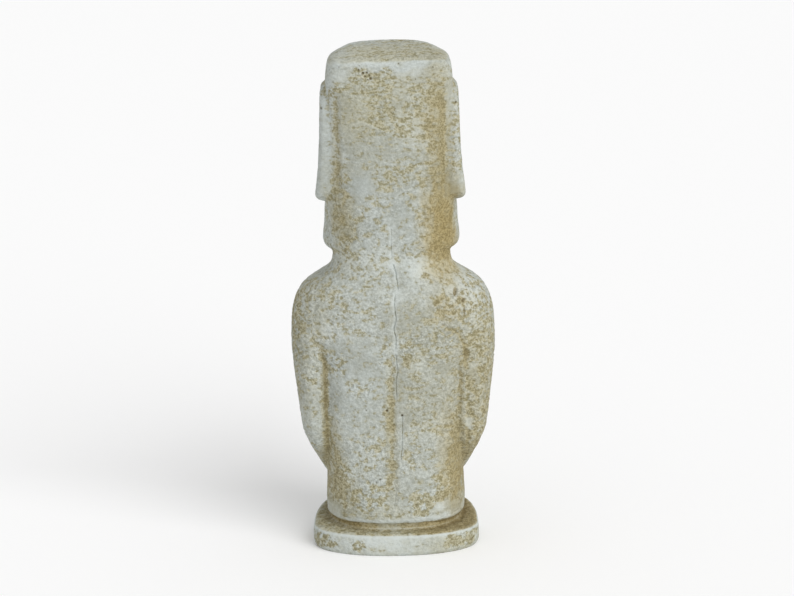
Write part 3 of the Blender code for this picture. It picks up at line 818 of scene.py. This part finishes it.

# How thick a beige film of the stain was left on the back. On the arms' outer sides it is thickened
# as painted shade as well.
FILM_GROUND = 0.35
BACK_FILM = (
    (-2, 403, 50, 34, 0.76), (26, 392, 20, 26, 0.9), (-41, 370, 10, 62, 0.85),
    (4, 350, 38, 26, 0.5), (56, 370, 12, 60, 0.1), (6, 300, 32, 24, 0.25), (-45, 298, 18, 44, 0.8),
    (44, 316, 13, 32, 0.85), (28, 330, 12, 12, 0.05), (2, 440, 54, 4, 0), (-4, 450, 70, 7, 0.9),
    # (-78, 152) and (76, 190): the stain's film, thickened as painted shade towards the arms' outer edges
    (46, 446, 14, 8, 0.15), (0, 232, 60, 30, 0.3), (-26, 256, 16, 8, 0.2), (-78, 152, 20, 62, 0.88),
    (-30, 214, 34, 18, 0.55), (76, 190, 20, 60, 0.6), (74, 222, 18, 20, 0.6),
    (34, 160, 28, 40, 0.2), (-32, 150, 28, 60, 0.6), (0, 70, 40, 36, 0.4), (-52, 74, 13, 46, 0.95),
    (46, 50, 14, 16, 0.8), (56, 72, 12, 40, 0.8), (0, 36, 66, 5, 0.7), (0, 9, 90, 12, 0.35),
    (-52, 10, 28, 16, 0.75),
)

# How pale the bare stone is painted on the back, from dull to bright. Among the patches, painted light
# brightens the left ear's groove and the stone beside the left arm's groove against their shade, and
# painted shade dims the arms' outer edges.
PALE_GROUND = 0.3
BACK_PALE = (
    (10, 352, 44, 34, 0.14), (8, 398, 12, 12, 0.15), (58, 370, 10, 56, 0.4), (40, 330, 14, 34, 0),
    # painted light: (47.5, 366) brightens the left ear's groove against its shade
    (-43, 350, 12, 38, 0), (-20, 380, 20, 20, 0.4), (47.5, 366, 5, 42, 0.52), (0, 450, 80, 8, 0.45),
    (46, 446, 16, 6, 0.4), (0, 300, 36, 24, 0.22), (-10, 302, 12, 14, 0.05), (10, 266, 26, 8, 0.6),
    (-24, 256, 18, 9, 0.55), (-60, 248, 14, 16, 0.7), (-76, 214, 18, 26, 0.55),
    (30, 150, 30, 44, 0.16), (-34, 160, 26, 50, 0.12), (-26, 174, 12, 12, 0.45),
    (-28, 212, 34, 19, 0), (60, 196, 12, 16, 0.6), (48, 182, 12, 12, 0), (-10, 150, 10, 32, 0),
    (-43, 178, 14, 22, 0), (0, 56, 44, 16, 0.15), (-52, 70, 12, 40, 0), (30, 84, 22, 24, 0.22),
    # painted light: (50, 117) brightens the stone beside the left arm's groove
    (50, 117, 7, 18, 0.5), (67, 248, 12, 10, 0.05), (-5, 250, 8, 10, 0.1), (-30, 84, 22, 26, 0.12),
    # painted shade: (88, 190) and (-88, 170) dim the arms' outer edges
    (6, 76, 12, 24, 0.1), (0, 9, 90, 12, 0.62), (-52, 10, 30, 16, 0.3), (88, 190, 11, 60, 0.05),
    (-88, 170, 11, 60, 0.05), (74, 120, 14, 24, 0.26),
)

# How far the patches' outlines wander, and how much of that the steadier ones do.
WANDER = 4.5
STEADY_SHARE = 0.3

# Rounds of smoothing that show the small hollows, and the wide ones.
NEAR_PASSES = 8
WIDE_PASSES = 120

# How square a patch's outline is (2 is an ellipse).
PATCH_SQUARE = 2.6

# The shares on the sides and the front.
SIDES_STAIN = 0.34
SIDES_FILM = 0.5
SIDES_PALE = 0.35


def from_middle(across, along, square):
    """0 in the middle of a superellipse and 1 on its outline, from shares of its half widths."""
    return (np.abs(across) ** square + np.abs(along) ** square) ** (1 / square)


def painted(places, ground, x, z, soft=0.3):
    """Soft-edged patches painted over one another on an even ground."""
    field = np.full(len(x), ground)
    for middle_x, middle_z, half_x, half_z, share in places:
        away = from_middle((x - middle_x) / half_x, (z - middle_z) / half_z, PATCH_SQUARE)
        field += step(1 + soft, 1 - soft, away) * (share - field)
    return field


def streakiness(x, y, z):
    """How far the stain runs in dashes across and not in round specks."""
    head = step(330, 350, z)
    shoulder = hill(x, 28, 44) * hill(z, 228, 46)
    right_back = hill(x, -34, 34) * np.maximum(hill(z, 165, 60), hill(z, 95, 50))
    dashes = np.maximum(0.9 * head, 0.8 * np.maximum(shoulder, right_back))
    return np.clip(dashes * step(0, 15, y), 0, 1)


def above_edge(x, z):
    """Height on the head, as if the edge of the crown didn't rise a little towards the right."""
    return z + np.where(x < 0, 0.06, 0.03) * x


def crown_film(x, z, normals):
    """The film on the crown from its edge inwards, thinner at the left end."""
    upward = step(0.3, 0.62, normals[:, 2] + 0.004 * x)
    return upward * step(436, 440, above_edge(x, z)) * (0.95 - 0.55 * step(24, 46, x))


def rubbed_back(x, z, steady_x, steady_z, normals):
    """How far the back's patches and edges and the stone beside the cracks were wiped clean."""
    rubbed = painted(RUBBED, 0.0, steady_x, above_edge(steady_x, steady_z), soft=0.45)
    rubbed = rubbed * step(0.75, 0.45, np.abs(normals[:, 2]))
    for places, _, _, reach in CRACKS:
        beside = step(reach, 0.4 * reach, along_path(places, x, z)[0])
        rubbed = np.maximum(rubbed, 0.16 * reach * beside)
    return rubbed


def painted_back(points, normals, back):
    """The fields of the back by name, from the patches, the arc over the shoulder and the crown."""
    x, _, z = points.T
    wander_x = x + WANDER * (grain(points, 14, seed=8) + 0.6 * grain(points, 5, seed=10))
    wander_z = z + WANDER * (grain(points, 14, seed=9) + 0.6 * grain(points, 5, seed=11))
    steady_x, steady_z = x + STEADY_SHARE * (wander_x - x), z + STEADY_SHARE * (wander_z - z)
    stain = painted(BACK_STAIN, STAIN_GROUND, wander_x, wander_z)
    film = painted(BACK_FILM, FILM_GROUND, wander_x, wander_z, soft=0.5)
    warm = painted(WARM, 0.0, wander_x, wander_z, soft=0.6) * back
    pale = painted(BACK_PALE, PALE_GROUND, wander_x, wander_z, soft=0.5)
    smeared = painted(SMEARED, 0.0, wander_x, wander_z, soft=0.8)
    smeared = np.maximum(smeared, painted(GROOVE_SMEARS, 0.0, steady_x, steady_z, soft=0.4)) * back
    clean = painted(JAW_EDGES, 0.0, steady_x, steady_z, soft=0.4)
    smeared *= 1 - clean
    warm *= 1 - clean
    film *= 1 - 0.5 * clean
    stain += clean * (0.3 - stain)
    away, share = along_path(SHOULDER_ARC, x, z)
    arc = step(4.5, 1, away) * hill(share, 0.5, 0.8) * back
    smeared = np.maximum(smeared, 0.6 * arc)
    stain += arc * (0.7 - stain)
    for *groove, share in GROOVE_STAIN:
        stain += painted([(*groove, 1.0)], 0.0, x, z) * (share - stain)
    crown = crown_film(x, z, normals)
    stain += crown * (0.42 - stain)
    film += crown * (1 - film)
    rubbed = rubbed_back(x, z, steady_x, steady_z, normals) * back
    return dict(stain=stain, film=film, warm=warm, pale=pale, smeared=smeared, rubbed=rubbed)


def blend_sides(fields, points, wide, back):
    """Carry the fields on over the sides and the front: denser in hollows, wiped off edges."""
    uneven = grain(points, 46, seed=12) + 0.6 * grain(points, 17, seed=13)
    sides = {
        "stain": SIDES_STAIN + 0.3 * uneven + 0.12 * np.clip(wide, -2, 4),
        "film": np.clip(SIDES_FILM + 0.45 * uneven + 0.12 * wide, 0, 1),
        "pale": SIDES_PALE - 0.25 * uneven,
    }
    for name, plain in sides.items():
        fields[name] = plain + (fields[name] - plain) * back
    fields["rubbed"] = np.maximum(fields["rubbed"], 0.55 * step(-0.5, -2, wide) * (1 - back))


def stain_plinth(fields, points, normals, back):
    """Stain the plinth's top and the moat under the torso's lip, wipe the plinth's rim, and paint shade
    into the moat's foot and far ends and along the arms' grooves.
    """
    x, y, z = points.T
    upward, top = normals[:, 2], PLINTH_TOP
    right, middle = step(-5, -35, x), hill(x, 4, 34) * back
    ledge = step(top + 3, top, z) * step(0.55, 0.95, upward) * (z > 12)
    rim = step(0.1, 0.35, upward) * step(0.82, 0.6, upward) * hill(z, top - 1.5, 5)
    moat = step(top + 8, top + 6, z) * step(top - 3, top, z)
    moat = moat * (1 - ledge) * (1 - rim)
    behind = np.maximum(y - PLINTH_WIDEST_AT, 0) / (PLINTH_BACK - PLINTH_WIDEST_AT)
    near_rim = step(0.86, 0.97, np.hypot(x / PLINTH_HALF_WIDTH, behind))
    fields["stain"] += ledge * (0.84 + 0.2 * right - 0.16 * near_rim - fields["stain"])
    fields["stain"] += moat * (0.56 - 0.34 * middle - fields["stain"])
    fields["film"] += np.maximum(ledge * 0.9, moat) * (1 - 0.5 * middle * moat - fields["film"])
    smear = np.maximum((0.2 + 0.3 * right) * ledge, (0.62 - 0.4 * middle) * moat)
    fields["smeared"] = np.maximum(fields["smeared"] * (z > top + 8), smear)
    fields["rubbed"] = np.maximum(fields["rubbed"] * (1 - moat), 0.9 * rim * back)
    warmer = 0.8 * moat * (1 - 0.5 * middle) + 0.6 * ledge * right
    fields["warm"] = np.maximum(fields["warm"], warmer)
    _, foot_half, foot_back, _, _, foot_square, _ = TORSO_STATIONS[0]
    from_torso = from_middle(x / foot_half, y / foot_back, foot_square)
    # The corner at the recess's foot and on the plinth's top along the torso's foot: partly stain
    # gathered there, partly painted shade.
    corner = np.maximum(hill(z, top + 0.6, 1.8) * moat, ledge * step(1.12, 1.05, from_torso))
    # Painted shade at the recess's far ends under the lip, most at the right end; the plinth's top is
    # also darkened towards the right.
    far = moat * (step(-32, -56, x) + 0.2 * step(20, 44, x)) + 0.5 * ledge * step(-10, -50, x)
    # Painted shade along the bottoms of the arms' grooves.
    lines = painted(GROOVE_SHADE_LINES, 0.0, x, z, soft=0.5) * back
    # The moat field: stain soaked into the recess, thinner in its middle, with the painted shade above
    # laid on it.
    fields["moat"] = 0.1 * moat * (1 - middle) + 0.7 * corner + 0.9 * far + 0.6 * lines


def pit_shade(x, y, z):
    """How much shade is painted into the air holes and the marks behind the shoulder, on the back."""
    pits = np.zeros(len(x))
    for hole_x, hole_z, radius, depth in BACK_HOLES:
        inside = step(1.1 * radius, 0.3 * radius, np.hypot(x - hole_x, z - hole_z)) * (y > 4)
        pits = np.maximum(pits, min(1, 0.6 * depth) * inside)
    for mark_x, mark_z, half_x, half_z, _ in SHOULDER_MARKS:
        away = np.hypot((x - mark_x) / half_x, (z - mark_z) / half_z)
        pits = np.maximum(pits, 0.45 * step(1.1, 0.4, away) * (y > 4))
    return pits


def stain_fields(mesh):
    """Store at each point how hollow the surface is, how it was stained, filmed and rubbed, and where
    shade and light are painted.
    """
    points, normals = points_of(mesh), vertex_rows(mesh, "normal")
    x, y, z = points.T
    near, wide = hollowness(mesh, NEAR_PASSES), hollowness(mesh, WIDE_PASSES)
    back = step(-18, 12, y)
    fields = painted_back(points, normals, back)
    blend_sides(fields, points, wide, back)
    stain_plinth(fields, points, normals, back)
    fields["stain"] -= 0.75 * fields["rubbed"]
    fields["film"] = np.clip(fields["film"], 0, 1) * (1 - fields["rubbed"])
    fields["hollow"] = near
    fields["pits"] = pit_shade(x, y, z)
    fields["streak"] = streakiness(x, y, z)
    calm = (0.6 * step(296, 330, z) + 0.2 * step(368, 390, z)) * step(438, 426, z)
    fields["calm"] = calm + 0.5 * hill(x, 22, 34) * hill(z, 228, 36)
    for name, values in fields.items():
        mesh.attributes.new(name, "FLOAT", "POINT").data.foreach_set("value", values.astype(np.float32))


def node(tree, kind, settings=None, **links):
    """A node with its settings; a link named _0, _1 ... goes to that input, others by input name."""
    made = tree.nodes.new(kind)
    for name, value in (settings or {}).items():
        setattr(made, name, value)
    for name, value in links.items():
        socket = made.inputs[int(name[1:])] if name[0] == "_" else made.inputs[name.replace("_", " ")]
        if isinstance(value, bpy.types.NodeSocket):
            tree.links.new(value, socket)
        else:
            socket.default_value = value
    return made


def maths(tree, operation, *values):
    """A socket with the result of a sum on sockets and numbers."""
    inputs = {f"_{i}": value for i, value in enumerate(values)}
    return node(tree, "ShaderNodeMath", {"operation": operation}, **inputs).outputs[0]


def sum_of(tree, *terms):
    """A socket with the sum of (socket, factor, offset) terms."""
    total = None
    for socket, factor, offset in terms:
        scaled = maths(tree, "MULTIPLY_ADD", socket, factor, offset)
        total = scaled if total is None else maths(tree, "ADD", total, scaled)
    return total


def ramp(tree, value, low, high, out_low=0, out_high=1):
    """A smooth step of a socket's value from low to high."""
    ends = {"From_Min": low, "From_Max": high, "To_Min": out_low, "To_Max": out_high}
    settings = {"interpolation_type": "SMOOTHSTEP"}
    return node(tree, "ShaderNodeMapRange", settings, Value=value, **ends).outputs["Result"]


def speckle(tree, place, size, stretch, detail, seed, curl):
    """Noise from 0 to 1 with humps of this size in millimetres, longer across than up."""
    scale = 1 / (size * MM)
    mapped = node(tree, "ShaderNodeMapping", Vector=place)
    mapped.inputs["Scale"].default_value = (scale, scale, scale * stretch)
    mapped.inputs["Location"].default_value = (seed * 13.1, seed * 7.7, seed * 3.9)
    settings = {"Scale": 1, "Detail": detail, "Roughness": 0.5, "Distortion": curl}
    return node(tree, "ShaderNodeTexNoise", Vector=mapped.outputs[0], **settings).outputs["Fac"]


def product(tree, first, second):
    """A socket with the product of two others."""
    return maths(tree, "MULTIPLY", first, second)


# The stone's colours, and the tints that are laid over them.
PALE = (0.515, 0.552, 0.530, 1.0)
BARE = (0.300, 0.320, 0.292, 1.0)
FILM_TINT = (0.91, 0.84, 0.69, 1.0)
SMEAR_TINT = (0.78, 0.68, 0.45, 1.0)
WARM_TINT = (1.04, 0.94, 0.78, 1.0)
STAINED = (0.228, 0.207, 0.110, 1.0)
STAINED_PALE = (0.422, 0.397, 0.276, 1.0)
# The dark of heavily soaked stain, also used as painted shade in the recess under the lip and along the
# arms' grooves.
SOAKED_AND_SHADE = (0.160, 0.128, 0.058, 1.0)
# Painted shade inside the air holes and the marks behind the shoulder.
PIT = (0.150, 0.118, 0.066, 1.0)


# The specks' noises: size of the humps in millimetres, stretch, detail, seed and curl.
CLOUD = (24, 1.2, 2, 1, 0)
BLOB = (7, 1.2, 1.6, 2, 0.25)
DASH = (8.6, 2.2, 1.8, 5, 0.25)
FLECK = (2.7, 1.2, 1, 3, 0.2)
DUST = (1.2, 1, 0, 4, 0)

# The fields that the mesh carries and the material reads.
FIELDS = "hollow stain film rubbed warm pale smeared moat pits streak calm".split()


def mix(tree, share, first, second, blend="MIX"):
    """The colour between two others, or the first with the second blended onto it."""
    settings = {"data_type": "RGBA", "blend_type": blend}
    return node(tree, "ShaderNodeMix", settings, _0=share, _6=first, _7=second).outputs[2]


def cast_stone():
    """Pale cement-bound stone with an ochre stain rubbed in and wiped off, and painted shade in the
    recess, the arms' grooves and the air holes.
    """
    material = bpy.data.materials.new("cast_stone")
    material.use_nodes = True
    tree = material.node_tree
    shader = tree.nodes["Principled BSDF"]
    place = node(tree, "ShaderNodeTexCoord").outputs["Object"]
    field = {
        name: node(tree, "ShaderNodeAttribute", {"attribute_name": name}).outputs["Fac"]
        for name in FIELDS
    }
    cloud = speckle(tree, place, *CLOUD)
    blob = speckle(tree, place, *BLOB)
    dash = speckle(tree, place, *DASH)
    fleck = speckle(tree, place, *FLECK)
    dust = speckle(tree, place, *DUST)
    blotch = node(tree, "ShaderNodeMix", _0=field["streak"], _2=blob, _3=dash).outputs[0]
    coarse = ramp(tree, field["stain"], 0, 0.7, 0.38, 1)
    for name, least in (("smeared", 0.7), ("calm", 0.6)):
        coarse = product(tree, coarse, ramp(tree, field[name], 0, 1, 1, least))
    spotted = ramp(tree, field["smeared"], 0, 1, 1, 0.35)

    spots = sum_of(tree, (blotch, 2.8, -1.4), (fleck, -0.8, 0.4), (cloud, 0.5, -0.25))
    spots = product(tree, spots, spotted)
    cover = sum_of(tree, (field["stain"], 1, 0), (field["hollow"], 0.9, 0), (spots, 1, 0))
    stained = ramp(tree, cover, 0.33, 0.74)
    soaked = ramp(tree, cover, 0.85, 1.6)

    grains = sum_of(tree, (fleck, 1.8, -0.9), (dust, 0.9, -0.45))
    tone = sum_of(
        tree,
        (product(tree, grains, coarse), 1, 0.3),
        (field["pale"], 0.6, 0),
        (cloud, 0.45, -0.225),
        (blotch, -0.4, 0.2),
        (field["rubbed"], 0.45, 0),
    )
    colour = mix(tree, ramp(tree, tone, 0, 1), BARE, PALE)
    film = sum_of(tree, (field["film"], 1, 0), (blotch, 0.9, -0.45))
    colour = mix(tree, ramp(tree, film, -0.1, 1.1), colour, FILM_TINT, "MULTIPLY")
    inner = product(tree, sum_of(tree, (fleck, 2, -1)), spotted)
    inner = sum_of(tree, (dust, 1.2, -0.1), (inner, 1, 0))
    stain_tone = mix(tree, ramp(tree, inner, 0.1, 0.9), STAINED, STAINED_PALE)
    share = product(tree, stained, ramp(tree, field["smeared"], 0, 1, 0.84, 0.6))
    share = product(tree, share, ramp(tree, field["stain"], 0.15, 0.6, 0.74, 1))
    colour = mix(tree, share, colour, stain_tone)
    colour = mix(tree, field["smeared"], colour, SMEAR_TINT, "MULTIPLY")
    # Heavy stain, and the moat field's soaked stain and painted shade, go towards one dark brown.
    deep = sum_of(tree, (soaked, 0.45, 0), (field["moat"], 0.42, 0))
    colour = mix(tree, deep, colour, SOAKED_AND_SHADE)
    colour = mix(tree, field["warm"], colour, WARM_TINT, "MULTIPLY")
    # Painted shade in the air holes and the shoulder marks.
    colour = mix(tree, field["pits"], colour, PIT)
    tree.links.new(colour, shader.inputs["Base Color"])

    roughness = sum_of(tree, (stained, 0.06, 0.84), (dust, 0.12, -0.06))
    tree.links.new(roughness, shader.inputs["Roughness"])
    shader.inputs["Specular IOR Level"].default_value = 0.25

    grit = sum_of(tree, (fleck, 1.4, 0), (dust, 0.25, 0), (blotch, -1.9, 0))
    grit = product(tree, grit, coarse)
    bump = node(tree, "ShaderNodeBump", Height=grit, Strength=1, Distance=MM)
    tree.links.new(bump.outputs["Normal"], shader.inputs["Normal"])
    return material


def build_moai():
    """The whole casting at fine scale, standing for the CAD node."""
    cast = applied(
        raw_forms(),
        (
            ("REMESH", {"mode": "VOXEL", "voxel_size": VOXEL * MM}),
            ("SMOOTH", {"factor": 0.5, "iterations": SMOOTH_PASSES}),
        ),
    )
    carve(cast)
    cut_flat(cast)
    refine(cast, needs_fine_mesh, REFINE_PASSES)
    undercut(cast)
    fine_relief(cast)
    keep_in_box(cast)
    stain_fields(cast)
    triangles = sum(len(face.vertices) - 2 for face in cast.polygons)
    cast = applied(cast, (("DECIMATE", {"ratio": TRIANGLES / triangles}),))
    keep_in_box(cast)
    cast.name = PIECE + "_casting"
    cast.materials.clear()
    cast.materials.append(cast_stone())
    cast.shade_smooth()
    piece = in_scene(PIECE + "_casting", cast)
    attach(piece, "root")
    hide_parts(PIECE)
    return piece


# The plain floor and the soft studio around it.
FLOOR_HALF = 12
FLOOR_COLOUR = (0.97, 0.97, 0.97, 1.0)
WORLD_COLOUR = (1.0, 1.0, 1.0, 1.0)
WORLD_STRENGTH = 0.68
# The broad key light.
KEY_FROM = Vector((-0.62, 0.74, 0.62))
KEY_STRENGTH = 1.85
KEY_WIDTH = math.radians(50)

# The camera, behind the figure; its range is in metres.
CAMERA_RANGE = 2.3
CAMERA_RISE = math.radians(14.5)
CAMERA_AIM = Vector((-0.0041, 0.0, 0.2205))
CAMERA_ROLL = math.radians(-0.95)
CAMERA_LENS = 115.97


def build_floor():
    mesh = bpy.data.meshes.new("floor")
    bm = bmesh.new()
    bmesh.ops.create_grid(bm, x_segments=2, y_segments=2, size=FLOOR_HALF)
    bmesh.ops.translate(bm, verts=bm.verts, vec=(0, 0, FOOT.z))
    bm.to_mesh(mesh)
    bm.free()
    material = bpy.data.materials.new("floor")
    material.use_nodes = True
    shader = material.node_tree.nodes["Principled BSDF"]
    shader.inputs["Base Color"].default_value = FLOOR_COLOUR
    shader.inputs["Roughness"].default_value = 0.9
    shader.inputs["Specular IOR Level"].default_value = 0.1
    mesh.materials.append(material)
    floor = in_scene("floor", mesh)


def build_lights():
    world = bpy.data.worlds.new("studio")
    world.use_nodes = True
    background = world.node_tree.nodes["Background"]
    background.inputs["Color"].default_value = WORLD_COLOUR
    background.inputs["Strength"].default_value = WORLD_STRENGTH
    bpy.context.scene.world = world
    lamp = bpy.data.lights.new("key", "SUN")
    lamp.energy = KEY_STRENGTH
    lamp.angle = KEY_WIDTH
    holder = in_scene("key", lamp)
    holder.rotation_euler = KEY_FROM.to_track_quat("Z", "Y").to_euler()


def build_camera():
    data = bpy.data.cameras.new("camera")
    data.sensor_width = 36
    data.lens = CAMERA_LENS
    camera = in_scene("camera", data)
    middle = FOOT + Vector((0, 0, HEIGHT * MM / 2))
    camera.location = middle + CAMERA_RANGE * Vector((0, math.cos(CAMERA_RISE), math.sin(CAMERA_RISE)))
    facing = (CAMERA_AIM - camera.location).to_track_quat("-Z", "Y")
    camera.rotation_mode = "QUATERNION"
    camera.rotation_quaternion = facing @ Quaternion((0, 0, 1), CAMERA_ROLL)
    bpy.context.scene.camera = camera


build_moai()
build_floor()
build_lights()
build_camera()
bpy.context.scene.view_settings.view_transform = "Standard"
